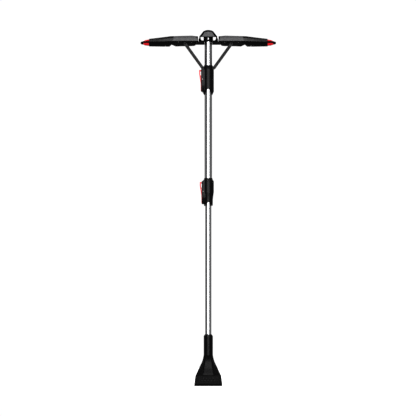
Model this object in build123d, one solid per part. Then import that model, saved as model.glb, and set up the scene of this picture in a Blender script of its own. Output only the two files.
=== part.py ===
from build123d import *
import os
from math import atan2, degrees, hypot, sqrt

# A folding two-wing snow head and an ice scraper on a telescoping pole.
# Millimetres, +Z up along the pole, origin at the centre of the scraper's edge.
# +X is the right wing, -X the left wing and both triggers, -Y is the front.

# ---- driving dimensions -------------------------------------------------------

CLEAR = 0.05                # between pieces that are assembled and don't move
GAP = 0.3                   # between pieces that move past each other
PIN_FIT = 0.06              # radial clearance of a pin in a moving hole

# Poles
UPPER_R = 14.0              # outer radius of the 28 mm upper tube
LOWER_R = 11.5              # outer radius of the 23 mm lower tube
TUBE_WALL = 1.2
UPPER_BOTTOM, UPPER_TOP = 715.0, 1311.5
LOWER_BOTTOM, LOWER_TOP = 126.0, 760.0
GUIDE_LENGTH = 15.0         # sliding collar on top of the lower tube
GUIDE_FIT = 0.1             # radial clearance of the sliding guides

# Scraper
SCRAPER_TOP = 194.0
NECK_R = 17.1
NECK_BOTTOM = 116.0
SOCKET_BOTTOM = 125.0
FLARE = [                   # height, width, depth and corner radius of each section
    (119.0, 33.2, 24.0, 9.0),
    (110.0, 36.6, 22.4, 8.2),
    (100.0, 41.0, 20.4, 7.2),
    (88.0, 49.4, 18.0, 6.0),
    (64.0, 73.0, 14.0, 4.5),
    (39.4, 96.2, 10.5, 3.5),
]
SPINE = [                   # the raised wedge that carries the neck down the front
    (117.0, 33.4, 33.4, 16.6),
    (104.0, 31.9, 28.4, 10.5),
    (94.0, 31.4, 26.8, 7.0),
    (77.0, 33.2, 26.8, 4.6),
    (58.0, 36.6, 26.7, 3.2),
    (41.0, 40.8, 26.6, 2.0),
]
SPINE_LIP = (19.2, 13.9, 41.0, 45.0)        # half width, half depth, bottom, top
BLADE_EDGE = (7.0, 104.2, 6.0, 2.0)
SCRAPER_EDGE = (0.0, 105.0, 1.6, 0.7)
SCRAPER_SCREW_Z = 160.0
NUB_PITCH = 11.8
NUB_ROWS = [(29.0, 4), (21.0, 5)]
NUB_HALF, NUB_ROOT, NUB_TIP, NUB_SHRINK = 4.9, 1.2, 5.0, 0.72

# Runner, the sliding collar of the folding head
RUNNER_BOTTOM, RUNNER_TOP = 1091.0, 1203.0
SLEEVE_R = 20.8
RUNNER_BUSH_BANDS = [(1188.0, 1199.0), (1118.0, 1130.0)]
BUSH_R = 15.4
RUNNER_SCREW_HEIGHTS = (1124.0, 1168.0)

# Lock collar between the two tubes
LOCK_BOTTOM, LOCK_TOP = 675.0, 780.0
LOCK_SLEEVE_R = 20.7
LOCK_SCREW_HEIGHTS = (738.0, 759.0)
BUSH_BOTTOM = 698.0
PEG_Z = 748.0

# Trigger levers. Their outlines are drawn outward from the tube's surface.
RUNNER_PIVOT_Z = 1150.0
LOCK_PIVOT_Z = 729.5
PIVOT_OUT = 8.0
TRIGGER_PIN_R = 1.75
TRIGGER_HALF = 6.0
CHEEK_IN, CHEEK_OUT = 6.6, 15.5
CHEEK_TAPER = [(0.0, 0.0), (9.0, 1.2), (18.0, 3.6), (36.0, 9.0)]        # drop and inset
HOUSING_OUT = 13.0
HOUSING_WALL_OUT = 3.5
SPRING_DROP = 11.0          # height of the spring above the pivot
SEAM_WIDTH = 1.2
ROOF_SHRINK = 0.62          # size of a housing roof's ridge against its eaves

# Folding linkage
HINGE = (44.0, 1286.0)
STRUT_FOOT = (21.7, 1193.0)
STRUT_HEAD = (87.0, 1283.3)
HINGE_PIN_R = 2.5
STRUT_PIN_R = 2.0
LUG_HALF = 9.0
TRIGGER_PIN_REACH = 15.5    # half length of the pin, out to the housing's cheeks
STRUT_IN, STRUT_OUT = 9.4, 13.0
STRUT_HALF_WIDTH = 5.55
STRUT_POCKETS = 15          # triangular pockets that leave a zigzag rib
STRUT_POCKET_DEPTH = 1.9

# Hub
ARM_START, ARM_HALF = 12.0, 16.0
CREST_HALF = 18.0
CLEVIS_HALF = 8.0
TONGUE_HALF = 7.7
KNUCKLE_R = 6.2
KNUCKLE_CHAMFER = 2.3
CAP_DEPTH = 3.5
RIM_DEPTH = 5.0             # how far the crest's sloping rim falls back
SOCKET_R = 17.8
SOCKET_BOTTOM_Z, SOCKET_TOP_Z = 1291.0, 1309.2
RIVET_Z = 1301.0
RIVET_R, RIVET_HEAD_R = 2.5, 3.9

# Wings: distance from the pole, crest height, lip height, keel height, half depth
WING_STATIONS = [
    (39.0, 1311.0, 1293.5, 1275.8, 29.0),
    (63.0, 1313.6, 1293.5, 1274.6, 34.0),
    (100.0, 1312.5, 1293.5, 1274.0, 38.0),
    (141.7, 1311.3, 1293.2, 1272.9, 36.0),
    (175.0, 1307.0, 1292.0, 1272.9, 31.5),
    (222.0, 1301.6, 1291.2, 1273.6, 22.5),
]
WING_START, WING_SHELL_END = 37.0, 222.0
HORN_TOP_Z = 1301.2
TIP_START, TIP_MIDDLE, TIP_END = 222.3, 235.5, 243.2
NOSE_START, NOSE_BEND, NOSE_END = 243.6, 250.0, 253.5
BRIDGE_LOW_Z, BRIDGE_TOP_Z = 1286.4, 1292.7             # the band between the two red tips
SHELL_WALL = 2.4
BAND_HEIGHT = 4.5
BAND_PROUD = 3.0
BAND_WIDTH = 9.0
DECK_TOP, DECK_HEIGHT = 1293.2, 2.7
BOSS_R = 3.6
SCREW_SEAT = 2.2            # depth of the screw seats above the wing's underside
SCREW_TIP_Z = 1300.0
KEEL_START, KEEL_END = 51.0, 146.0
KEEL_HALF = 8.8
KEEL_FOOT_HALF = 5.2        # the keel narrows downward
KEEL_WEB_HALF = 4.0         # solid middle of the keel between the two stud slots
COVER_SCREWS = [(62.0, 19.0), (112.0, 22.0)]
SHELL_SCREWS = [(160.0, 14.0), (203.0, 9.0)]

LOW = (Align.CENTER, Align.CENTER, Align.MIN)


# ---- small builders -----------------------------------------------------------

def block(x_low, x_high, y_low, y_high, z_low, z_high):
    centre = ((x_low + x_high) / 2, (y_low + y_high) / 2, (z_low + z_high) / 2)
    return Pos(*centre) * Box(x_high - x_low, y_high - y_low, z_high - z_low)


def plate(outline, y_low, y_high):
    """An outline in X and Z, made solid from y_low to y_high."""
    points = [(x, y_low, z) for x, z in outline]
    return extrude(make_face(Polyline(*points, close=True)), amount=y_high - y_low, dir=(0, 1, 0))


def plan(outline, z_low, z_high):
    """An outline in X and Y, made solid from z_low to z_high."""
    points = [(x, y, z_low) for x, y in outline]
    return extrude(make_face(Polyline(*points, close=True)), amount=z_high - z_low, dir=(0, 0, 1))


def turned(outline):
    """An outline of radius and height, turned about the pole's axis."""
    points = [(r, 0, z) for r, z in outline]
    return revolve(make_face(Polyline(*points, close=True)), axis=Axis.Z)


def profile(outline, x_low, x_high):
    """An outline in Y and Z, made solid from x_low to x_high."""
    points = [(x_low, y, z) for y, z in outline]
    return extrude(make_face(Polyline(*points, close=True)), amount=x_high - x_low, dir=(1, 0, 0))


def rod_y(radius, x, z, y_low, y_high):
    return Pos(x, y_low, z) * Rot(-90, 0, 0) * Cylinder(radius, y_high - y_low, align=LOW)


def rod_z(radius, z_low, z_high, x=0, y=0):
    return Pos(x, y, z_low) * Cylinder(radius, z_high - z_low, align=LOW)


def tube(inner, outer, z_low, z_high):
    return rod_z(outer, z_low, z_high) - rod_z(inner, z_low - 1, z_high + 1)


def both_faces(solid):
    """A solid and its mirror image on the other side of Y = 0."""
    return solid + mirror(solid, about=Plane.XZ)


def left(solid):
    return mirror(solid, about=Plane.YZ)


def both_sides(solid):
    """A solid and its mirror image on the other side of X = 0."""
    return solid + left(solid)


def shrunk(outline, centre, scale):
    return [(centre[0] + (x - centre[0]) * scale, centre[1] + (z - centre[1]) * scale) for x, z in outline]


def stub(outline, centre, y_wide, y_narrow, shrink):
    """A stub along Y whose outline in X and Z shrinks about its centre."""
    wide = [(x, y_wide, z) for x, z in outline]
    narrow = [(x, y_narrow, z) for x, z in shrunk(outline, centre, shrink)]
    faces = [make_face(Polyline(*points, close=True)) for points in (wide, narrow)]
    return loft(faces, ruled=True)


def dome(radius, rise, x, z, y):
    """A shallow round cap that stands on the plane y and faces the front."""
    sphere_r = (radius ** 2 + rise ** 2) / (2 * rise)
    flat_r = 0.15 * radius
    middle, top = [(r, 0, sqrt(sphere_r ** 2 - r ** 2) - sphere_r + rise) for r in (radius / 2, flat_r)]
    arc = ThreePointArc((radius, 0, 0), middle, top)
    base = Polyline(top, (0, 0, top[2]), (0, 0, 0), (radius, 0, 0))
    cap = revolve(make_face(arc.edges() + base.edges()), axis=Axis.Z)
    return Pos(x, y, z) * Rot(90, 0, 0) * cap


def headed_pin(shaft_r, head_r, rise, x, z, reach):
    """A pin along Y with a domed head at each end."""
    return rod_y(shaft_r, x, z, -reach, reach) + both_faces(dome(head_r, rise, x, z, -reach))


def countersunk_screw(shaft_r, head_r, x, z, y_tip, y_head, head_height):
    """A screw along +Y whose head ends at y_head + head_height."""
    shaft = rod_y(shaft_r, x, z, y_tip, y_head + head_height / 2)
    head = rod_y(head_r, x, z, y_head, y_head + head_height)
    drive = rod_y(head_r * 0.4, x, z, y_head + head_height * 0.5, y_head + head_height + 1)
    return shaft + head - drive


# ---- lower pole ---------------------------------------------------------------

def scraper_section(height, width, depth, corner):
    return Pos(0, 0, height) * RectangleRounded(width, depth, corner)


def scraper_nub(x, z):
    """One diamond-shaped tooth that breaks up ice, standing on the front face."""
    diamond = [(x + NUB_HALF, z), (x, z + NUB_HALF), (x - NUB_HALF, z), (x, z - NUB_HALF)]
    return stub(diamond, (x, z), -NUB_ROOT, -NUB_TIP, NUB_SHRINK)


def scraper_pocket():
    """The sunk field of the front face. Its floor leans, thin at the edge below."""
    half_field = [(12.0, 95.0), (18.0, 90.0), (31.5, 60.0), (40.5, 40.0), (43.0, 10.0)]
    field = half_field + [(-x, z) for x, z in reversed(half_field)]
    floor = [(0, 0), (-1.3, 0), (-1.3, 10.0), (-2.6, 38.0), (-9.2, 97.0), (0, 97.0)]
    return plate(field, -20.0, 0.0) - profile(floor, -60.0, 60.0)


def scraper_spine():
    half_width, half_depth, lip_bottom, lip_top = SPINE_LIP
    wedge = loft([scraper_section(*row) for row in SPINE])
    lip = block(-half_width, half_width, -half_depth, half_depth, lip_bottom, lip_top)
    return wedge + lip


def make_scraper_head():
    neck = turned([(0, NECK_BOTTOM), (NECK_R, NECK_BOTTOM), (NECK_R, 187.5),
                   (LOWER_R + 1.0, SCRAPER_TOP), (0, SCRAPER_TOP)])
    flare = loft([scraper_section(*row) for row in FLARE])
    blade = loft([scraper_section(*FLARE[-1]), scraper_section(*BLADE_EDGE)], ruled=True)
    edge = loft([scraper_section(*BLADE_EDGE), scraper_section(*SCRAPER_EDGE)], ruled=True)
    head = flare + blade + edge
    pocket = scraper_pocket()
    head = head - pocket - mirror(pocket, about=Plane.XZ)
    head = head + neck + scraper_spine()
    for z, count in NUB_ROWS:
        for i in range(count):
            head = head + both_faces(scraper_nub((i - (count - 1) / 2) * NUB_PITCH, z))
    head = head - rod_z(LOWER_R + CLEAR, SOCKET_BOTTOM, SCRAPER_TOP + 1)
    head = head - rod_y(1.6, 0, SCRAPER_SCREW_Z, LOWER_R - 2, NECK_R + 1)
    return head - rod_y(3.1, 0, SCRAPER_SCREW_Z, NECK_R - 2.4, NECK_R + 1)


def make_scraper_screw():
    return countersunk_screw(1.5, 3.0, 0, SCRAPER_SCREW_Z, LOWER_R - TUBE_WALL - 2, NECK_R - 2.35, 2.0)


def make_lower_tube():
    pole = tube(LOWER_R - TUBE_WALL, LOWER_R, LOWER_BOTTOM, LOWER_TOP)
    return pole - rod_y(1.6, 0, SCRAPER_SCREW_Z, 0, LOWER_R + 1)


def make_lower_tube_guide():
    """The collar that centres the lower tube and stops it leaving the upper one."""
    outer = UPPER_R - TUBE_WALL - GUIDE_FIT
    stem = LOWER_R - TUBE_WALL - CLEAR
    return turned([(8.0, LOWER_TOP - 20), (stem, LOWER_TOP - 20), (stem, LOWER_TOP + CLEAR),
                   (outer, LOWER_TOP + CLEAR), (outer, LOWER_TOP + GUIDE_LENGTH - 1.5),
                   (outer - 1.5, LOWER_TOP + GUIDE_LENGTH), (8.0, LOWER_TOP + GUIDE_LENGTH)])


# ---- triggers: shared by the runner and the lock collar -------------------------

def trigger_lever(tube_r, pivot_z):
    """The red lever: a thumb hook on top, a pivot, and a brake shoe at its foot."""
    def place(points):
        return [(-(tube_r + out), pivot_z + up) for out, up in points]

    body = plate(place([
        (9.0, 35.0), (20.3, 35.0), (20.3, 23.0), (18.6, 10.0), (16.7, -1.0), (14.5, -16.0),
        (14.1, -44.0), (2.4, -44.0), (2.4, -34.0), (10.6, -34.0), (10.9, -14.0), (13.0, -5.0),
        (13.9, 4.0), (13.9, 7.5), (13.5, 7.5), (13.5, 14.5), (15.6, 14.5), (16.5, 23.0),
        (16.5, 29.5), (9.0, 29.5),
    ]), -TRIGGER_HALF, TRIGGER_HALF)
    web = plate(place([(PIVOT_OUT, 4.0), (14.5, 4.0), (14.5, -7.0), (PIVOT_OUT, -4.0)]),
                -TRIGGER_HALF, TRIGGER_HALF)
    pivot_x = -(tube_r + PIVOT_OUT)
    boss = rod_y(4.0, pivot_x, pivot_z, -TRIGGER_HALF, TRIGGER_HALF)
    lever = body + web + boss
    lever = lever - rod_y(TRIGGER_PIN_R + PIN_FIT, pivot_x, pivot_z, -10, 10)
    shoe_sides = block(-(tube_r + 6.5), -tube_r, 5.0, 10.0, pivot_z - 45.0, pivot_z - 33.0)
    return lever - both_faces(shoe_sides)


def brake_pad(tube_r, pivot_z):
    """The rubber pad on the lever's foot, hollowed to the tube it grips."""
    pad = block(-(tube_r + 2.4 - CLEAR), -(tube_r - 4.0), -4.5, 4.5, pivot_z - 43.5, pivot_z - 34.5)
    return pad - rod_z(tube_r + GAP, pivot_z - 50.0, pivot_z - 30.0)


def trigger_pin(tube_r, pivot_z):
    x = -(tube_r + PIVOT_OUT)
    return headed_pin(TRIGGER_PIN_R, TRIGGER_PIN_R, 0.5, x, pivot_z, TRIGGER_PIN_REACH)


def trigger_spring(tube_r, pivot_z):
    """A compression spring between the lever and the housing's inner wall."""
    wire, coil_r, turns = 0.45, 2.6, 6
    start = -(tube_r + HOUSING_OUT + 0.4 - wire)
    length = HOUSING_OUT + 0.4 - HOUSING_WALL_OUT - 2 * wire - 2 * CLEAR
    helix = Helix(pitch=length / turns, height=length, radius=coil_r, direction=(1, 0, 0))
    ring = Plane(origin=helix @ 0, z_dir=helix % 0) * Circle(wire)
    coil = sweep(ring, path=helix, is_frenet=True)
    return Pos(start, 0, pivot_z + SPRING_DROP) * coil


def housing_outline(tube_r):
    out = tube_r + HOUSING_OUT
    return [(0, -CHEEK_OUT), (-out + 2.5, -CHEEK_OUT), (-out, -13.0), (-out, 13.0),
            (-out + 2.5, CHEEK_OUT), (0, CHEEK_OUT)]


def housing_block(tube_r, z_low, z_high, taper_top):
    """The flat-sided housing on the left of a collar. Its cheeks curve in at the foot."""
    housing = plan(housing_outline(tube_r), z_low, z_high)
    far = -CHEEK_OUT - 1.0
    steps = [(-CHEEK_OUT + inset, taper_top - drop) for drop, inset in CHEEK_TAPER]
    wedge = profile([(far, taper_top), *steps, (far, steps[-1][1])], -tube_r - 40.0, 0.0)
    return housing - both_faces(wedge)


def housing_roof(tube_r, z_low, z_high):
    """A hipped roof that carries the housing's top back into the sleeve."""
    outline = housing_outline(tube_r)
    eaves = Polyline(*[(x, y, z_low) for x, y in outline], close=True)
    ridge = Polyline(*[(x, y, z_high) for x, y in shrunk(outline, (0, 0), ROOF_SHRINK)], close=True)
    return loft([make_face(eaves), make_face(ridge)], ruled=True)


def trigger_space(tube_r, pivot_z):
    """What the housing leaves open: the lever's slot, the shoe's window, the pin."""
    wall_x = -(tube_r + HOUSING_WALL_OUT)
    slot = block(-(tube_r + 30), wall_x, -CHEEK_IN, CHEEK_IN, pivot_z - 44.9, pivot_z + 36.3)
    window = block(wall_x - 1, -(tube_r - 4), -5.4, 5.4, pivot_z - 44.9, pivot_z - 33.0)
    pin_x = -(tube_r + PIVOT_OUT)
    return slot + window + rod_y(TRIGGER_PIN_R + CLEAR, pin_x, pivot_z, -20, 20)


def seam_groove(sleeve_r, z_low, z_high):
    """A thin upright groove where the housing's cheek meets the round sleeve."""
    seam_x = -sqrt(sleeve_r ** 2 - CHEEK_OUT ** 2)
    half_width, depth = SEAM_WIDTH / 2, 1.5
    return both_faces(block(seam_x - half_width, seam_x + half_width, -CHEEK_OUT - 2.0, -CHEEK_OUT + depth,
                            z_low, z_high))


def foot_arch(radius, bottom, top):
    """The round-topped opening at the foot of a collar, front to rear."""
    legs = block(-radius, radius, -40, 40, bottom - 1.0, top - radius)
    return rod_y(radius, 0, top - radius, -40, 40) + legs


def split_front_rear(collar, screw_x, screw_heights, tip, seat):
    """Cut a collar at Y = 0 into two shells and bore its screws from the rear."""
    far = 60.0
    z_low, z_high = collar.bounding_box().min.Z - 1, collar.bounding_box().max.Z + 1
    for z in screw_heights:
        collar = collar - rod_y(1.3, screw_x, z, tip - 0.5, far)
        collar = collar - rod_y(2.7, screw_x, z, seat, far)
    front = collar & block(-far, far, -far, -CLEAR / 2, z_low, z_high)
    rear = collar & block(-far, far, CLEAR / 2, far, z_low, z_high)
    return front, rear


def collar_screws(screw_x, screw_heights, tip, seat):
    screws = [countersunk_screw(1.25, 2.6, screw_x, z, tip, seat + CLEAR, 1.8) for z in screw_heights]
    return Compound(children=[screw.solid() for screw in screws])


# ---- runner -------------------------------------------------------------------

def strut_lug():
    """The ear on the right shoulder that the strut's fork straddles."""
    x, z = STRUT_FOOT
    ear = rod_y(5.5, x, z, -LUG_HALF, LUG_HALF)
    return ear + block(5.0, x, -LUG_HALF, LUG_HALF, z - 5.5, z + 5.5)


def fork_room():
    """Room on the right shoulder for the strut's two side plates."""
    return both_faces(block(15.7, 40.0, -26.0, -LUG_HALF - 0.05, STRUT_FOOT[1] - 6.0, RUNNER_TOP + 1))


def make_runner_shells():
    top, bottom = RUNNER_TOP, RUNNER_BOTTOM
    sleeve = turned([(0, bottom), (14.9, bottom), (SLEEVE_R, bottom + 13), (SLEEVE_R, top - 15),
                     (UPPER_R + 1.6, top), (0, top)])
    out = UPPER_R + HOUSING_OUT
    eaves = RUNNER_PIVOT_Z + 36.3
    housing = housing_block(UPPER_R, bottom + 13, eaves, RUNNER_PIVOT_Z - 14.0)
    foot = plate([(-14.0, bottom), (-16.2, bottom + 1.5), (-21.0, bottom + 9.8), (-out, bottom + 13.5),
                  (-out, bottom + 14), (-14.0, bottom + 14)], -CHEEK_IN - 1.0, CHEEK_IN + 1.0)
    shoulder = block(-out + 0.5, -14.0, -LUG_HALF, LUG_HALF, eaves - 1.0, eaves + 3.5)
    lug = strut_lug()
    room = fork_room()
    collar = sleeve + housing + foot + shoulder
    collar = collar - room - left(room)
    collar = collar + lug + left(lug)
    collar = collar - rod_z(UPPER_R + 0.4, bottom - 1, top + 1)
    for z_low, z_high in RUNNER_BUSH_BANDS:
        collar = collar - rod_z(BUSH_R + CLEAR, z_low - CLEAR, z_high + CLEAR)
    collar = collar - foot_arch(13.7, bottom, bottom + 22.2)
    collar = collar - trigger_space(UPPER_R, RUNNER_PIVOT_Z)
    collar = collar - seam_groove(SLEEVE_R, bottom + 17, RUNNER_PIVOT_Z + 30)
    for x in (STRUT_FOOT[0], -STRUT_FOOT[0]):
        collar = collar - rod_y(STRUT_PIN_R + CLEAR, x, STRUT_FOOT[1], -20, 20)
    return split_front_rear(collar, 18.2, RUNNER_SCREW_HEIGHTS, -6.5, 7.4)


def make_runner_bush(z_low, z_high):
    return tube(UPPER_R + GUIDE_FIT - 0.01, BUSH_R, z_low, z_high)


def make_strut_foot_pin():
    """A headed pin through the runner's lug and the strut's two side plates."""
    x, z = STRUT_FOOT
    return headed_pin(STRUT_PIN_R, STRUT_PIN_R + 1.2, 1.4, x, z, STRUT_OUT + CLEAR)


# ---- lock collar ----------------------------------------------------------------

def make_lock_shells():
    top, bottom = LOCK_TOP, LOCK_BOTTOM
    sleeve = turned([(0, bottom), (15.2, bottom), (16.8, bottom + 5), (17.1, 699.0), (18.2, 710.0),
                     (LOCK_SLEEVE_R, 727.0), (LOCK_SLEEVE_R, 766.0), (19.9, 770.0), (16.6, 774.5),
                     (UPPER_R + 0.8, top), (0, top)])
    eaves = LOCK_PIVOT_Z + 37.5
    housing = housing_block(LOWER_R, bottom + 6.8, eaves, LOCK_PIVOT_Z - 14.0)
    collar = sleeve + housing + housing_roof(LOWER_R, eaves, LOCK_TOP - 5.0)
    collar = collar - rod_z(UPPER_R + CLEAR, BUSH_BOTTOM - CLEAR, top + 1)
    collar = collar - rod_z(LOWER_R + 0.7, bottom - 1, BUSH_BOTTOM)
    collar = collar - foot_arch(12.0, bottom, bottom + 13.8)
    collar = collar - trigger_space(LOWER_R, LOCK_PIVOT_Z)
    collar = collar - seam_groove(LOCK_SLEEVE_R, bottom + 52, LOCK_PIVOT_Z + 34)
    collar = collar + rod_y(2.4, 0, PEG_Z, UPPER_R - TUBE_WALL + 0.05, UPPER_R + 2)
    return split_front_rear(collar, 17.6, LOCK_SCREW_HEIGHTS, -6.5, 7.4)


def make_lock_guide_bush():
    """Guides the lower tube, and its sleeve inside the upper tube is the end stop."""
    bore = LOWER_R + GUIDE_FIT - 0.01
    sleeve_r = UPPER_R - TUBE_WALL - CLEAR
    return turned([(bore, BUSH_BOTTOM), (UPPER_R, BUSH_BOTTOM), (UPPER_R, UPPER_BOTTOM - CLEAR),
                   (sleeve_r, UPPER_BOTTOM - CLEAR), (sleeve_r, LOWER_TOP - 0.2), (bore, LOWER_TOP - 0.2)])


def make_upper_tube():
    pole = tube(UPPER_R - TUBE_WALL, UPPER_R, UPPER_BOTTOM, UPPER_TOP)
    pole = pole - rod_y(RIVET_R + 0.1, 0, RIVET_Z, -20, 20)
    return pole - rod_y(2.5, 0, PEG_Z, 0, 20)


# ---- hub ------------------------------------------------------------------------

def crest_face(half_width, shoulder_z, crown_z, side):
    """The domed front outline: an arc on top, sides down through points, a flat floor."""
    crown = ThreePointArc((-half_width, 0, shoulder_z), (0, 0, crown_z), (half_width, 0, shoulder_z))
    right = [(half_width, 0, shoulder_z)] + [(x, 0, z) for x, z in side]
    sides = Polyline(*right, *[(-x, 0, z) for x, _, z in reversed(right)])
    return make_face(crown.edges() + sides.edges())


def slab(face, y_low, y_high):
    return Pos(0, y_low, 0) * extrude(face, amount=y_high - y_low, dir=(0, 1, 0))


def cap_face(margin):
    """The outline of a face panel, or of its recess when a margin is given."""
    side = [(24.2 + margin, 1310.4), (24.2 + margin, 1310.2 - margin)]
    return crest_face(14.0 + margin, 1326.0 + margin, 1327.9 + margin, side)


def make_hub_cap():
    return slab(cap_face(0.0), -CREST_HALF + 0.3, -CREST_HALF + CAP_DEPTH)


def hub_arm():
    """The right hinge arm: a rounded bar that ends in a chamfered knuckle."""
    hinge_x, hinge_z = HINGE
    section = Plane.YZ * RectangleRounded(2 * ARM_HALF, 2 * KNUCKLE_R, 5.0)
    bar = Pos(ARM_START, 0, hinge_z) * extrude(section, amount=hinge_x - ARM_START)
    barrel_half = ARM_HALF - KNUCKLE_CHAMFER
    barrel = rod_y(KNUCKLE_R, hinge_x, hinge_z, -barrel_half, barrel_half)
    end = Cone(KNUCKLE_R, KNUCKLE_R - KNUCKLE_CHAMFER, KNUCKLE_CHAMFER, align=LOW)
    end = Pos(hinge_x, -barrel_half, hinge_z) * Rot(90, 0, 0) * end
    root = block(ARM_START, 31.5, -ARM_START, ARM_START, hinge_z, 1295.5)
    return bar + barrel + both_faces(end) + root


def hub_crest():
    """The domed block on top, with a rim that slopes back round its front and rear."""
    body = crest_face(18.2, 1330.2, 1334.6, [(33.6, 1310.2), (33.4, 1306.5), (36.2, 1300.0), (36.8, 1291.0)])
    front = crest_face(14.8, 1326.6, 1328.8, [(25.2, 1310.2), (25.0, 1306.5), (27.4, 1300.0), (28.0, 1291.0)])
    rim_start = CREST_HALF - RIM_DEPTH
    rim = loft([Pos(0, -rim_start, 0) * body, Pos(0, -CREST_HALF, 0) * front], ruled=True)
    return slab(body, -rim_start, rim_start) + both_faces(rim)


def make_hub_body():
    hinge_x, hinge_z = HINGE
    opening = block(-SOCKET_R + 0.1, SOCKET_R - 0.1, -30, 30, 1280.0, SOCKET_TOP_Z)
    window = plate([(17.6, 1295.5), (23.5, 1295.5), (27.0, 1298.0), (28.6, 1303.0), (28.8, 1309.0),
                    (17.6, 1309.0)], -30, 30)
    below = block(-UPPER_R - 0.4, UPPER_R + 0.4, -30, 30, 1270.0, SOCKET_BOTTOM_Z)
    gap = block(37.4, 60.0, -CLEVIS_HALF, CLEVIS_HALF, 1270.0, 1312.0)
    gap = gap + block(34.5, 60.0, -CLEVIS_HALF, CLEVIS_HALF, 1270.0, 1289.0)
    hub = hub_crest() - opening - both_sides(window)
    hub = hub + both_sides(hub_arm()) + rod_z(SOCKET_R, SOCKET_BOTTOM_Z, UPPER_TOP)
    hub = hub - below - both_sides(gap)
    hub = hub - rod_z(UPPER_R + CLEAR, 1270.0, UPPER_TOP + CLEAR)
    hub = hub - both_faces(slab(cap_face(0.15), -30, -CREST_HALF + CAP_DEPTH + CLEAR))
    hub = hub - both_sides(rod_y(HINGE_PIN_R + CLEAR, hinge_x, hinge_z, -30, 30))
    return hub - rod_y(RIVET_R + 0.1, 0, RIVET_Z, -30, 30)


def make_hub_rivet():
    """A domed rivet through the socket and the top of the upper tube."""
    return headed_pin(RIVET_R, RIVET_HEAD_R, 1.6, 0, RIVET_Z, SOCKET_R + CLEAR)


def make_hinge_pin():
    return headed_pin(HINGE_PIN_R, HINGE_PIN_R + 1.3, 1.6, *HINGE, ARM_HALF + CLEAR)


# ---- strut ------------------------------------------------------------------------

def truss_pocket(low, step, side):
    """One triangular pocket; with its neighbours it leaves a zigzag rib."""
    half = STRUT_HALF_WIDTH - 1.1
    corners = [(side * half, low), (side * half, low + 2 * step), (-side * half, low + step)]
    centre = (side * half / 3, low + step)
    return plate(shrunk(corners, centre, 0.76), -STRUT_OUT - 1, -STRUT_OUT + STRUT_POCKET_DEPTH)


def make_strut():
    """A channel: two side plates, and a web on the edge that faces the pole."""
    foot_x, foot_z = STRUT_FOOT
    head_x, head_z = STRUT_HEAD
    length = hypot(head_x - foot_x, head_z - foot_z)
    lean = degrees(atan2(head_x - foot_x, head_z - foot_z))
    half = STRUT_HALF_WIDTH
    side = block(-half, half, -STRUT_OUT, -STRUT_IN, 0, length)
    side = side + rod_y(half, 0, 0, -STRUT_OUT, -STRUT_IN) + rod_y(half, 0, length, -STRUT_OUT, -STRUT_IN)
    first = 8.0
    step = (length - 2 * first) / (STRUT_POCKETS + 1)
    for i in range(STRUT_POCKETS):
        side = side - truss_pocket(first + i * step, step, (-1) ** i)
    web_low, web_high = 12.0, length - 34.0
    web = block(-half, -half + 2.6, -STRUT_IN - 0.5, STRUT_IN + 0.5, web_low, web_high)
    strut = both_faces(side) + web
    strut = strut - rod_y(STRUT_PIN_R + PIN_FIT, 0, 0, -20, 20)
    strut = strut - rod_y(STRUT_PIN_R + CLEAR, 0, length, -20, 20)
    return Pos(foot_x, 0, foot_z) * Rot(0, lean, 0) * strut


def make_strut_head_studs():
    """Two short studs, front and rear, that run in the slots of the wing's keel."""
    x, z = STRUT_HEAD
    shaft = rod_y(STRUT_PIN_R, x, z, -STRUT_OUT - CLEAR, -KEEL_WEB_HALF - GAP)
    front = shaft + dome(STRUT_PIN_R + 1.2, 1.6, x, z, -STRUT_OUT - CLEAR)
    return Compound(children=[front.solid(), mirror(front, about=Plane.XZ).solid()])


# ---- wing (the right one; the left is its mirror image) ----------------------------

def wing_at(x):
    """Crest, lip, keel and half depth at a distance from the pole."""
    for low, high in zip(WING_STATIONS, WING_STATIONS[1:]):
        if x <= high[0]:
            break
    share = (x - low[0]) / (high[0] - low[0])
    return [a + (b - a) * share for a, b in zip(low[1:], high[1:])]


def wing_span(x_low, x_high):
    """The stations between two distances, with both ends included."""
    inner = [row[0] for row in WING_STATIONS if x_low + 1 < row[0] < x_high - 1]
    return [x_low, *inner, x_high]


def ribbon_loft(rows):
    """A ruled loft through closed outlines in Y and Z, each at its own X."""
    faces = []
    for x, outline in rows:
        points = [(x, y, z) for y, z in outline]
        faces.append(make_face(Polyline(*points, close=True)))
    return loft(faces, ruled=True)


def symmetric(half_outline):
    return half_outline + [(-y, z) for y, z in reversed(half_outline)]


def upper_section(x, inset, sink):
    """Half of the roof's outline: lip, shoulder and the flat along the crest."""
    crest, lip, _, half = wing_at(x)
    shoulder_z = lip + 0.58 * (crest - lip)
    return symmetric([(half - inset, lip - sink), (0.82 * half - inset, shoulder_z - 0.8 * inset),
                      (0.42 * half - 0.4 * inset, crest - inset)])


def lower_section(x, inset, rise):
    """Half of the belly's outline below the lip band."""
    _, lip, keel, half = wing_at(x)
    top = lip - BAND_HEIGHT
    shoulder_z = keel + 0.45 * (top - keel)
    return symmetric([(half - inset, top + rise), (0.82 * half - inset, shoulder_z + 0.8 * inset),
                      (0.45 * half - 0.4 * inset, keel + inset)])


def roof(x_low, x_high, wall_low, wall_high):
    """The hollow roof of the wing between two distances from the pole."""
    outer = ribbon_loft([(x, upper_section(x, 0, -CLEAR)) for x in wing_span(x_low, x_high)])
    span = wing_span(x_low + wall_low, x_high - wall_high)
    inner = ribbon_loft([(x, upper_section(x, SHELL_WALL, 3.0)) for x in span])
    return outer, outer - inner


COVER_START = [(35.4, 1285.0), (49.8, 1320.0)]          # slanted inner end of the cover
COVER_SPLIT = [(126.0, 1320.0), (137.0, 1285.0)]        # slanted joint in the roof


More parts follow.
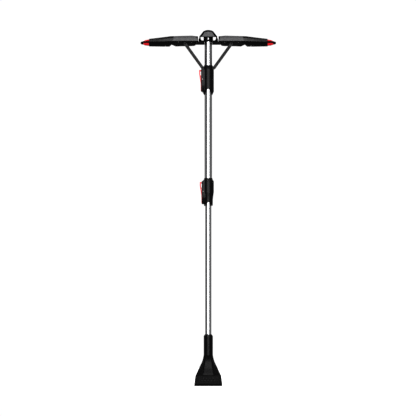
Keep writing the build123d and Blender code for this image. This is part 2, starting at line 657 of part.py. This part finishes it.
def roof_boss(outer, x, y):
    """A screw boss from the deck up to the roof's inner face."""
    boss = rod_z(BOSS_R, DECK_TOP + CLEAR, 1320.0, x, y) & outer
    return boss - rod_z(1.5, DECK_TOP - 1.0, SCREW_TIP_Z + 0.5, x, y)


def make_wing_cover():
    """The grey textured roof over the inner half of the wing."""
    outer, shell = roof(WING_START, WING_SHELL_END, SHELL_WALL, SHELL_WALL)
    for x, y in COVER_SCREWS:
        shell = shell + roof_boss(outer, x, y) + roof_boss(outer, x, -y)
    shell = shell & plate(COVER_START + COVER_SPLIT, -60, 60)
    return shell - block(30.0, 53.0, -8.3, 8.3, 1280.0, HORN_TOP_Z + GAP)


def make_wing_upper_shell():
    """The black roof over the outer half of the wing."""
    outer, shell = roof(WING_START, WING_SHELL_END, SHELL_WALL, SHELL_WALL)
    for x, y in SHELL_SCREWS:
        shell = shell + roof_boss(outer, x, y) + roof_boss(outer, x, -y)
    (top_x, top_z), (low_x, low_z) = COVER_SPLIT
    outer_half = [(top_x + GAP, top_z), (230.0, top_z), (230.0, low_z), (low_x + GAP, low_z)]
    return shell & plate(outer_half, -60, 60)


def make_wing_lower_shell():
    """The black belly of the wing's outer half, sloped where the strut folds in."""
    start = 118.0
    outer = ribbon_loft([(x, lower_section(x, 0, -CLEAR)) for x in wing_span(start, WING_SHELL_END)])
    inner_span = wing_span(start + 12.0, WING_SHELL_END - SHELL_WALL)
    inner = ribbon_loft([(x, lower_section(x, SHELL_WALL, 3.0)) for x in inner_span])
    wall = plate([(110.0, 1262.0), (164.0, 1262.0), (130.0, 1292.0), (110.0, 1292.0)], -60, 60)
    shell = outer - (inner - wall)
    shell = shell - plate([(100.0, 1260.0), (161.0, 1260.0), (124.0, 1292.0), (100.0, 1292.0)], -60, 60)
    shell = shell - block(100.0, KEEL_END + 1, -KEEL_HALF - 0.2, KEEL_HALF + 0.2, 1260.0, 1292.0)
    for x, y in SHELL_SCREWS:
        for side in (y, -y):
            _, lip, keel, _ = wing_at(x)
            post = rod_z(BOSS_R, keel + 1.0, DECK_TOP - DECK_HEIGHT - CLEAR, x, side) & outer
            shell = shell + post
            shell = shell - rod_z(1.55, keel - 5, lip, x, side)
            shell = shell - rod_z(3.1, keel - 5, keel + SCREW_SEAT, x, side)
    return shell


def wing_end_wedge():
    """The black end of the wing by the hub. It closes the cover's slanted inner end."""
    (low_x, low_z), (top_x, top_z) = COVER_START
    bottom_z = WING_STATIONS[0][2] + 0.1
    bottom_x = low_x + (top_x - low_x) * (bottom_z - low_z) / (top_z - low_z) - GAP
    outer = ribbon_loft([(x, upper_section(x, 0, -CLEAR)) for x in wing_span(WING_START, 52.0)])
    return outer & plate([(37.8, bottom_z), (38.6, 1303.0), (38.6, top_z), (top_x - GAP, top_z),
                          (bottom_x, bottom_z)], -60, 60)


def make_wing_core():
    """The wing's frame: hinge tongue, deck, and the keel that the strut straddles."""
    hinge_x, hinge_z = HINGE
    deck_rows = [(52.0, 22.0), (63.0, 24.5), (100.0, 28.5), (141.7, 26.5), (175.0, 22.0), (214.0, 14.5)]
    deck_plan = deck_rows + [(x, -y) for x, y in reversed(deck_rows)]
    deck = plan(deck_plan, DECK_TOP - DECK_HEIGHT, DECK_TOP)
    keel = plate([(KEEL_START, 1276.3), (54.0, 1275.2), (63.0, 1274.6), (100.0, 1274.0), (122.0, 1273.2),
                  (KEEL_END - 4, 1282.0), (KEEL_END, 1291.0), (KEEL_START, 1291.0)], -KEEL_HALF, KEEL_HALF)
    keel = keel & profile(symmetric([(KEEL_HALF, 1291.0), (KEEL_FOOT_HALF, 1273.0)]), KEEL_START, KEEL_END)
    tongue = rod_y(5.9, hinge_x, hinge_z, -TONGUE_HALF, TONGUE_HALF)
    tongue = tongue + block(hinge_x, 56.0, -TONGUE_HALF, TONGUE_HALF, hinge_z - 5.9, hinge_z + 5.9)
    horn = plate([(37.8, 1292.6), (hinge_x, 1288.0), (56.0, 1288.0), (52.0, 1299.0), (47.0, HORN_TOP_Z),
                  (38.8, HORN_TOP_Z)], -TONGUE_HALF, TONGUE_HALF)
    chin = plate([(46.8, 1286.0), (46.8, 1281.0), (49.0, 1276.6), (56.0, 1275.2), (56.0, 1286.0)],
                 -TONGUE_HALF, TONGUE_HALF)
    core = deck + keel + tongue + horn + chin + wing_end_wedge()
    core = core - rod_y(HINGE_PIN_R + PIN_FIT, hinge_x, hinge_z, -20, 20)
    head_x, head_z = STRUT_HEAD
    stud_path = [(-15.2, -1.5), (-12.0, -3.6), (2.5, -3.0), (2.5, 2.6), (-6.0, 7.0), (-13.0, 7.0),
                 (-15.2, 4.0)]
    stud_room = plate([(head_x + x, head_z + z) for x, z in stud_path], -20, -KEEL_WEB_HALF)
    relief = both_faces(block(head_x - 19.0, head_x + 7.5, -16.0, -KEEL_HALF - 0.1, 1280.0, 1300.0))
    core = core - both_faces(stud_room) - relief
    for x, y in COVER_SCREWS + SHELL_SCREWS:
        core = core - rod_z(1.6, 1285.0, 1300.0, x, y) - rod_z(1.6, 1285.0, 1300.0, x, -y)
    return core


def band_section(x):
    """The lip's outline: its edge leans inward below, toward the wing's underside."""
    _, lip, _, half = wing_at(x)
    low, high = lip - BAND_HEIGHT, lip
    reach = half + BAND_PROUD
    return symmetric([(reach - 3.2, low), (reach - 1.6, low + 0.8), (reach, high - 1.3), (reach - 1.0, high)])


def band_bore(x):
    """What the lip leaves open inside, so it is a ring round the deck."""
    _, lip, _, half = wing_at(x)
    reach = half + BAND_PROUD - BAND_WIDTH
    return symmetric([(reach, lip - 8), (reach, lip + 3)])


def make_wing_blade():
    """The rubber lip that runs round the wing and swells into its nose."""
    band = ribbon_loft([(x, band_section(x)) for x in wing_span(47.0, WING_SHELL_END)])
    band = band - ribbon_loft([(x, band_bore(x)) for x in wing_span(40.0, 216.0)])
    reach = WING_STATIONS[-1][4] + BAND_PROUD
    bridge = ribbon_loft([
        (WING_SHELL_END, symmetric([(reach - 2.0, BRIDGE_LOW_Z), (reach, 1289.9), (reach, BRIDGE_TOP_Z)])),
        (244.0, symmetric([(12.0, BRIDGE_LOW_Z), (13.0, 1289.0), (13.0, BRIDGE_TOP_Z)])),
    ])
    nose = ribbon_loft([
        (NOSE_START, symmetric([(13.5, 1283.5), (13.5, 1290.0)])),
        (NOSE_BEND, symmetric([(8.5, 1282.4), (8.5, 1290.0)])),
        (NOSE_END, symmetric([(4.5, 1283.6), (4.5, 1288.8)])),
    ])
    crown = ribbon_loft([
        (NOSE_START, symmetric([(10.5, 1280.4), (10.5, 1292.8)])),
        (NOSE_BEND, symmetric([(6.5, 1281.3), (6.5, 1291.0)])),
        (NOSE_END, symmetric([(3.0, 1283.0), (3.0, 1289.6)])),
    ])
    return band + bridge + nose + crown


def wing_tip(start, middle, end):
    """A red end piece through three outlines, each narrower than the last."""
    return ribbon_loft([(TIP_START, symmetric(start)), (TIP_MIDDLE, symmetric(middle)),
                        (TIP_END, symmetric(end))])


def make_tip_upper():
    foot = BRIDGE_TOP_Z + 0.2
    return wing_tip([(20.0, foot), (20.0, 1296.0), (15.0, 1299.2)],
                    [(14.5, foot), (14.5, 1295.0), (11.0, 1296.9)],
                    [(10.5, foot), (10.5, 1293.2), (8.0, 1293.9)])


def make_tip_lower():
    top = BRIDGE_LOW_Z - 0.3
    return wing_tip([(20.0, top), (20.0, 1279.0), (15.0, 1276.0)],
                    [(14.5, top), (14.5, 1279.6), (11.0, 1277.0)],
                    [(10.5, top), (10.5, 1281.4), (8.0, 1279.8)])


def wing_screw(x, y, seat):
    """A screw from below: head at the seat, tip up in a roof boss."""
    shaft = rod_z(1.4, seat - 1.0, SCREW_TIP_Z, x, y)
    head = rod_z(2.9, seat - 1.8, seat - CLEAR, x, y)
    return shaft + head - rod_z(1.1, seat - 2.5, seat - 1.0, x, y)


def make_wing_screws():
    screws = []
    for x, y in COVER_SCREWS:
        screws += [wing_screw(x, side, DECK_TOP - DECK_HEIGHT) for side in (y, -y)]
    for x, y in SHELL_SCREWS:
        screws += [wing_screw(x, side, wing_at(x)[2] + SCREW_SEAT) for side in (y, -y)]
    return Compound(children=[screw.solid() for screw in screws])


# ---- assembly ---------------------------------------------------------------------

def make_pole_parts():
    lock_front, lock_rear = make_lock_shells()
    return {
        "lower_tube": make_lower_tube(),
        "lower_tube_guide": make_lower_tube_guide(),
        "scraper_head": make_scraper_head(),
        "scraper_screw": make_scraper_screw(),
        "upper_tube": make_upper_tube(),
        "lock_front_shell": lock_front,
        "lock_rear_shell": lock_rear,
        "lock_guide_bush": make_lock_guide_bush(),
        "lock_screws": collar_screws(17.6, LOCK_SCREW_HEIGHTS, -6.5, 7.4),
        "lock_trigger": trigger_lever(LOWER_R, LOCK_PIVOT_Z),
        "lock_brake_pad": brake_pad(LOWER_R, LOCK_PIVOT_Z),
        "lock_trigger_pin": trigger_pin(LOWER_R, LOCK_PIVOT_Z),
        "lock_spring": trigger_spring(LOWER_R, LOCK_PIVOT_Z),
    }


def make_runner_parts():
    runner_front, runner_rear = make_runner_shells()
    upper_band, lower_band = RUNNER_BUSH_BANDS
    return {
        "runner_front_shell": runner_front,
        "runner_rear_shell": runner_rear,
        "runner_upper_bush": make_runner_bush(*upper_band),
        "runner_lower_bush": make_runner_bush(*lower_band),
        "runner_screws": collar_screws(18.2, RUNNER_SCREW_HEIGHTS, -6.5, 7.4),
        "runner_trigger": trigger_lever(UPPER_R, RUNNER_PIVOT_Z),
        "runner_brake_pad": brake_pad(UPPER_R, RUNNER_PIVOT_Z),
        "runner_trigger_pin": trigger_pin(UPPER_R, RUNNER_PIVOT_Z),
        "runner_spring": trigger_spring(UPPER_R, RUNNER_PIVOT_Z),
    }


def make_head_parts():
    cap = make_hub_cap()
    parts = {
        "hub_body": make_hub_body(),
        "hub_front_cap": cap,
        "hub_rear_cap": mirror(cap, about=Plane.XZ),
        "hub_rivet": make_hub_rivet(),
    }
    right_parts = {
        "wing_hinge_pin": make_hinge_pin(),
        "strut": make_strut(),
        "strut_foot_pin": make_strut_foot_pin(),
        "strut_head_studs": make_strut_head_studs(),
        "wing_core": make_wing_core(),
        "wing_cover": make_wing_cover(),
        "wing_upper_shell": make_wing_upper_shell(),
        "wing_lower_shell": make_wing_lower_shell(),
        "wing_blade": make_wing_blade(),
        "wing_tip_upper": make_tip_upper(),
        "wing_tip_lower": make_tip_lower(),
        "wing_screws": make_wing_screws(),
    }
    for name, solid in right_parts.items():
        parts[name + "_right"] = solid
        parts[name + "_left"] = left(solid)
    return parts


def main():
    os.makedirs("parts", exist_ok=True)
    parts = {**make_pole_parts(), **make_runner_parts(), **make_head_parts()}
    for name, solid in parts.items():
        export_step(solid, os.path.join("parts", name + ".step"))


main()
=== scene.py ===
# The looks of a folding snow head and ice scraper on a telescoping pole.
# Metres, +Z up the pole, origin at the middle of the scraper's edge, -Y is the front.

import math

import bpy
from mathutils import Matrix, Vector

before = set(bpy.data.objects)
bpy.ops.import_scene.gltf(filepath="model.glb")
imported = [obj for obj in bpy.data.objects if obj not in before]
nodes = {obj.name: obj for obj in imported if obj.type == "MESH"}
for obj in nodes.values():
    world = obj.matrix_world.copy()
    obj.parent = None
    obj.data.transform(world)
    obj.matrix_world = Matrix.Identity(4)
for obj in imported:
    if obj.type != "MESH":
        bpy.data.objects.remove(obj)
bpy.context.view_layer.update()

MM = 0.001

# ---- camera and light -----------------------------------------------------------

LENS = 500.0                    # a long lens, because the photo shows no perspective
SENSOR = 36.0
VIEW_WIDTH = 1.56               # what the frame is wide at the pole
VIEW_CENTRE = Vector((-0.0011, 0.0, 0.6675))
CLIP_END = 100.0

MODEL_MIDDLE = (0.0, 0.0, 0.67)
HEAD_MIDDLE = (0.0, 0.0, 1.3)
PANEL_PLACE = Vector((0.0, -2.6, 0.95))     # the large soft light at the front
PANEL_WIDTH, PANEL_HEIGHT = 2.4, 2.3
PANEL_POWER = 58.0
TOP_PLACE = Vector((0.0, -1.0, 3.1))        # a softbox above, for the wings' roofs
TOP_WIDTH, TOP_DEPTH = 1.8, 0.55
TOP_POWER = 24.0
REAR_DISTANCE, REAR_HEIGHT, REAR_SPREAD = 3.0, 2.4, 1.2
REAR_SIZE = 1.4
REAR_POWER = 45.0
SURROUND_GREY = 0.20            # what the object reflects where no light stands
BACKDROP_WHITE = 1.03           # what the camera sees behind the object
FLOOR_RADIUS = 2.5
FLOOR_SEGMENTS = 96
FLOOR_GLOW = 0.62               # keeps the floor white for the camera
FLOOR_SHEEN = 0.15              # how bright the floor is in the object's reflections
PRINT_GAMMA = 0.8               # deepens the dark tones, as a printed product picture does


def grey(level):
    return (level, level, level, 1.0)


def add_camera():
    data = bpy.data.cameras.new("camera")
    data.lens = LENS
    data.sensor_width = SENSOR
    data.clip_end = CLIP_END
    camera = bpy.data.objects.new("camera", data)
    distance = VIEW_WIDTH * LENS / SENSOR
    camera.location = VIEW_CENTRE + Vector((0.0, -distance, 0.0))
    camera.rotation_euler = (math.radians(90), 0.0, 0.0)
    bpy.context.scene.collection.objects.link(camera)
    bpy.context.scene.camera = camera


def add_panel(name, location, target, width, height, power):
    """A large soft light that faces the target. The camera doesn't see it."""
    data = bpy.data.lights.new(name, "AREA")
    data.shape = "RECTANGLE"
    data.size = width
    data.size_y = height
    data.energy = power
    light = bpy.data.objects.new(name, data)
    light.location = location
    towards = Vector(target) - Vector(location)
    light.rotation_euler = towards.to_track_quat("-Z", "Y").to_euler()
    light.visible_camera = False
    bpy.context.scene.collection.objects.link(light)


def add_lights():
    ahead = PANEL_PLACE + Vector((0.0, 1.0, 0.0))
    add_panel("front_panel", PANEL_PLACE, ahead, PANEL_WIDTH, PANEL_HEIGHT, PANEL_POWER)
    add_panel("top_panel", TOP_PLACE, HEAD_MIDDLE, TOP_WIDTH, TOP_DEPTH, TOP_POWER)
    for side, name in ((-1, "rear_panel_left"), (1, "rear_panel_right")):
        place = (side * REAR_SPREAD, REAR_DISTANCE, REAR_HEIGHT)
        add_panel(name, place, MODEL_MIDDLE, REAR_SIZE, REAR_SIZE, REAR_POWER)


def make_world():
    """White where the camera looks past the object, and a dim grey room elsewhere."""
    world = bpy.data.worlds.new("studio")
    world.use_nodes = True
    tree = world.node_tree
    tree.nodes.clear()
    output = tree.nodes.new("ShaderNodeOutputWorld")
    room = tree.nodes.new("ShaderNodeBackground")
    room.inputs["Color"].default_value = grey(SURROUND_GREY)
    white = tree.nodes.new("ShaderNodeBackground")
    white.inputs["Color"].default_value = grey(BACKDROP_WHITE)
    path = tree.nodes.new("ShaderNodeLightPath")
    mix = tree.nodes.new("ShaderNodeMixShader")
    tree.links.new(path.outputs["Is Camera Ray"], mix.inputs["Fac"])
    tree.links.new(room.outputs[0], mix.inputs[1])
    tree.links.new(white.outputs[0], mix.inputs[2])
    tree.links.new(mix.outputs[0], output.inputs["Surface"])
    bpy.context.scene.world = world
    bpy.context.scene.view_settings.view_transform = "Standard"
    bpy.context.scene.view_settings.gamma = PRINT_GAMMA


# ---- material helpers -------------------------------------------------------------

class Look:
    """A node material with short calls for its nodes."""

    def __init__(self, name):
        self.material = bpy.data.materials.new(name)
        self.material.use_nodes = True
        self.tree = self.material.node_tree
        self.tree.nodes.clear()
        self.output = self.add("ShaderNodeOutputMaterial")
        self.shader = self.add("ShaderNodeBsdfPrincipled")
        self.link(self.shader.outputs["BSDF"], self.output.inputs["Surface"])
        self.place = self.add("ShaderNodeTexCoord").outputs["Object"]

    def add(self, kind, **settings):
        node = self.tree.nodes.new(kind)
        for key, value in settings.items():
            setattr(node, key, value)
        return node

    def link(self, source, target):
        self.tree.links.new(source, target)

    def set(self, **values):
        for key, value in values.items():
            self.shader.inputs[key.replace("_", " ")].default_value = value

    def stretched(self, x, y, z):
        """The object's own coordinates, scaled on each axis."""
        mapping = self.add("ShaderNodeMapping")
        mapping.inputs["Scale"].default_value = (x, y, z)
        self.link(self.place, mapping.inputs["Vector"])
        return mapping.outputs["Vector"]

    def noise(self, size_mm, detail=3.0, roughness=0.55, vector=None):
        node = self.add("ShaderNodeTexNoise")
        node.inputs["Scale"].default_value = 1.0 / (size_mm * MM)
        node.inputs["Detail"].default_value = detail
        node.inputs["Roughness"].default_value = roughness
        self.link(vector or self.place, node.inputs["Vector"])
        return node.outputs["Fac"]

    def cells(self, size_mm, feature="F1", vector=None):
        node = self.add("ShaderNodeTexVoronoi", feature=feature)
        node.inputs["Scale"].default_value = 1.0 / (size_mm * MM)
        self.link(vector or self.place, node.inputs["Vector"])
        return node.outputs["Distance"]

    def remap(self, value, low, high, to_low, to_high):
        node = self.add("ShaderNodeMapRange")
        for key, number in zip(("From Min", "From Max", "To Min", "To Max"), (low, high, to_low, to_high)):
            node.inputs[key].default_value = number
        self.link(value, node.inputs["Value"])
        return node.outputs["Result"]

    def math(self, operation, first, second):
        node = self.add("ShaderNodeMath", operation=operation)
        for socket, value in zip(node.inputs, (first, second)):
            if isinstance(value, (int, float)):
                socket.default_value = value
            else:
                self.link(value, socket)
        return node.outputs[0]

    def mixed(self, first, first_share, second, second_share):
        """Two values added with a share each."""
        return self.math("ADD", self.math("MULTIPLY", first, first_share),
                         self.math("MULTIPLY", second, second_share))

    def colours(self, value, stops):
        """A colour ramp from (position, (r, g, b)) stops."""
        node = self.add("ShaderNodeValToRGB")
        ramp = node.color_ramp
        while len(ramp.elements) < len(stops):
            ramp.elements.new(0.5)
        for element, (position, colour) in zip(ramp.elements, stops):
            element.position = position
            element.color = (*colour, 1.0)
        self.link(value, node.inputs["Fac"])
        return node.outputs["Color"]

    def bump(self, height, depth_mm, strength=1.0, under=None):
        node = self.add("ShaderNodeBump")
        node.inputs["Strength"].default_value = strength
        node.inputs["Distance"].default_value = depth_mm * MM
        self.link(height, node.inputs["Height"])
        if under is not None:
            self.link(under, node.inputs["Normal"])
        return node.outputs["Normal"]

    def finish(self, colour=None, roughness=None, normal=None):
        if colour is not None:
            self.link(colour, self.shader.inputs["Base Color"])
        if roughness is not None:
            self.link(roughness, self.shader.inputs["Roughness"])
        if normal is not None:
            self.link(normal, self.shader.inputs["Normal"])
        return self.material


# ---- materials --------------------------------------------------------------------

def aluminium_look():
    """Drawn aluminium: fine lines along the tube, a few scuffs, satin gloss."""
    look = Look("aluminium_tube")
    look.set(Metallic=1.0)
    lines = look.noise(0.5, 2.0, vector=look.stretched(1.0, 1.0, 0.001))
    clouds = look.noise(60.0, 4.0)
    scuffs = look.noise(5.0, 6.0, 0.7, look.stretched(1.0, 1.0, 0.12))
    streaks = look.mixed(lines, 0.6, clouds, 0.4)
    colour = look.colours(streaks, [(0.3, (0.74, 0.75, 0.77)), (0.7, (0.86, 0.87, 0.88))])
    worn = look.remap(scuffs, 0.55, 0.75, 0.0, 0.05)
    roughness = look.math("ADD", look.remap(lines, 0.2, 0.8, 0.17, 0.21), worn)
    return look.finish(colour, roughness, look.bump(lines, 0.0006))


def moulded_look(name, dark, light, grain_mm, grain_depth_mm, smooth, rough, shine=0.5):
    """Moulded plastic: an even spark-eroded grain, faint flow marks, handled spots."""
    look = Look(name)
    look.set(Specular_IOR_Level=shine)
    grain = look.noise(grain_mm, 4.0, 0.6)
    flow = look.noise(45.0, 3.0, 0.5, look.stretched(1.0, 1.0, 0.4))
    handled = look.noise(14.0, 5.0, 0.65)
    colour = look.colours(look.mixed(grain, 0.5, flow, 0.5), [(0.3, dark), (0.7, light)])
    roughness = look.math("ADD", look.remap(handled, 0.3, 0.7, smooth, rough),
                          look.remap(grain, 0.3, 0.7, 0.0, 0.05))
    return look.finish(colour, roughness, look.bump(grain, grain_depth_mm))


def grained_look():
    """The grey panels: a coarse pebbled grain over a mottled grey."""
    look = Look("grey_texture")
    wobble = look.noise(5.0, 2.0)
    pebbles = look.cells(2.6, "SMOOTH_F1")
    mottle = look.noise(7.0, 5.0, 0.6)
    fine = look.noise(0.6, 3.0)
    speckle = look.mixed(mottle, 0.7, pebbles, 0.5)
    colour = look.colours(speckle, [(0.35, (0.072, 0.072, 0.074)), (0.75, (0.155, 0.155, 0.158))])
    roughness = look.remap(wobble, 0.3, 0.7, 0.5, 0.66)
    normal = look.bump(fine, 0.05, under=look.bump(pebbles, 0.35))
    return look.finish(colour, roughness, normal)


def rubber_look():
    """Matt rubber with a fine bloom."""
    look = Look("black_rubber")
    look.set(Specular_IOR_Level=0.14)
    bloom = look.noise(22.0, 5.0, 0.6)
    pores = look.noise(0.5, 2.0)
    colour = look.colours(bloom, [(0.3, (0.003, 0.003, 0.003)), (0.75, (0.007, 0.007, 0.007))])
    return look.finish(colour, look.remap(bloom, 0.3, 0.7, 0.62, 0.78), look.bump(pores, 0.05))


def metal_look(name, dark, light, smooth, rough):
    """A small plated or turned metal piece with faint turning marks."""
    look = Look(name)
    look.set(Metallic=1.0)
    marks = look.noise(0.5, 3.0, vector=look.stretched(1.0, 0.15, 1.0))
    clouds = look.noise(4.0, 4.0)
    colour = look.colours(clouds, [(0.3, dark), (0.7, light)])
    return look.finish(colour, look.remap(marks, 0.25, 0.75, smooth, rough), look.bump(marks, 0.01))


PLASTICS = {
    "black_plastic": dict(dark=(0.0015, 0.0015, 0.002), light=(0.004, 0.004, 0.0045),
                          grain_mm=0.45, grain_depth_mm=0.02, smooth=0.22, rough=0.30, shine=0.28),
    # a darker, duller copy of the black plastic, which paints shade on the hub body and the wing cores
    "black_plastic_painted_shade": dict(dark=(0.001, 0.001, 0.0012), light=(0.003, 0.003, 0.0033),
                        grain_mm=0.5, grain_depth_mm=0.04, smooth=0.42, rough=0.52, shine=0.08),
    "red_plastic": dict(dark=(0.90, 0.012, 0.022), light=(0.97, 0.022, 0.036),
                        grain_mm=0.5, grain_depth_mm=0.015, smooth=0.26, rough=0.36),
    "nylon": dict(dark=(0.62, 0.61, 0.57), light=(0.74, 0.73, 0.69),
                  grain_mm=0.5, grain_depth_mm=0.02, smooth=0.42, rough=0.52),
}
METALS = {
    "bright_steel": dict(dark=(0.78, 0.78, 0.79), light=(0.92, 0.92, 0.92), smooth=0.10, rough=0.20),
    "black_steel": dict(dark=(0.02, 0.02, 0.02), light=(0.035, 0.035, 0.035), smooth=0.35, rough=0.5),
    "zinc_steel": dict(dark=(0.50, 0.50, 0.48), light=(0.68, 0.68, 0.66), smooth=0.28, rough=0.42),
}


def make_looks():
    """Every look by name. All but black_plastic_painted_shade are named after the CAD's own material slots."""
    looks = {
        "aluminium_tube": aluminium_look(),
        "grey_texture": grained_look(),
        "black_rubber": rubber_look(),
    }
    for name, values in PLASTICS.items():
        looks[name] = moulded_look(name, **values)
    for name, values in METALS.items():
        looks[name] = metal_look(name, **values)
    return looks


# ---- CAD pieces that are shown as they are ------------------------------------------

EDGE_RADIUS_MM = {"black_plastic": 0.45, "grey_texture": 0.5, "red_plastic": 0.5, "black_rubber": 0.5}
WELD_DISTANCE = 0.002 * MM
FLAT_ANGLE = math.radians(0.4)          # faces that meet flatter than this are joined
EDGE_ANGLE = math.radians(28)           # edges sharper than this are rounded
EDGE_STEPS = 2
PAINTED_SHADE_NODES = ("hub_body", "wing_core_left", "wing_core_right")     # painted shade: these parts get a darker, duller copy of the black plastic


def soften(piece, radius_mm):
    """Break the sharp edges of a moulded piece with a small rounding."""
    weld = piece.modifiers.new("weld", "WELD")
    weld.merge_threshold = WELD_DISTANCE
    flat = piece.modifiers.new("flat_faces", "DECIMATE")
    flat.decimate_type = "DISSOLVE"
    flat.angle_limit = FLAT_ANGLE
    bevel = piece.modifiers.new("edge", "BEVEL")
    bevel.width = radius_mm * MM
    bevel.segments = EDGE_STEPS
    bevel.limit_method = "ANGLE"
    bevel.angle_limit = EDGE_ANGLE
    shading = piece.modifiers.new("shading", "WEIGHTED_NORMAL")
    shading.keep_sharp = True


def dress_cad_nodes(looks):
    for node in nodes.values():
        slot = node.data.materials[0].name.split(".")[0]
        # the hub body and wing cores take the darker copy of the black plastic: painted shade
        look = "black_plastic_painted_shade" if node.name in PAINTED_SHADE_NODES else slot
        node.data.materials[0] = looks[look]
        if slot in EDGE_RADIUS_MM:
            soften(node, EDGE_RADIUS_MM[slot])


# ---- stage --------------------------------------------------------------------------

def floor_look():
    """A pale sheet that stays white for the camera and dim in reflections."""
    look = Look("floor")
    dust = look.noise(800.0, 3.0)
    look.set(Roughness=0.9, Emission_Color=grey(1.0), Emission_Strength=FLOOR_GLOW)
    look.finish(look.colours(dust, [(0.3, (0.86, 0.86, 0.86)), (0.7, (0.88, 0.88, 0.88))]))
    dim = look.add("ShaderNodeEmission")
    dim.inputs["Color"].default_value = grey(FLOOR_SHEEN)
    mix = look.add("ShaderNodeMixShader")
    look.link(look.add("ShaderNodeLightPath").outputs["Is Camera Ray"], mix.inputs["Fac"])
    look.link(dim.outputs[0], mix.inputs[1])
    look.link(look.shader.outputs[0], mix.inputs[2])
    look.link(mix.outputs[0], look.output.inputs["Surface"])
    return look.material


def make_floor():
    mesh = bpy.data.meshes.new("floor")
    turns = [2 * math.pi * i / FLOOR_SEGMENTS for i in range(FLOOR_SEGMENTS)]
    ring = [(FLOOR_RADIUS * math.cos(turn), FLOOR_RADIUS * math.sin(turn), 0.0) for turn in turns]
    mesh.from_pydata(ring, [], [list(range(FLOOR_SEGMENTS))])
    floor = bpy.data.objects.new("floor", mesh)
    mesh.materials.append(floor_look())
    floor.visible_diffuse = False
    bpy.context.scene.collection.objects.link(floor)


make_world()
add_lights()
add_camera()
make_floor()
dress_cad_nodes(make_looks())
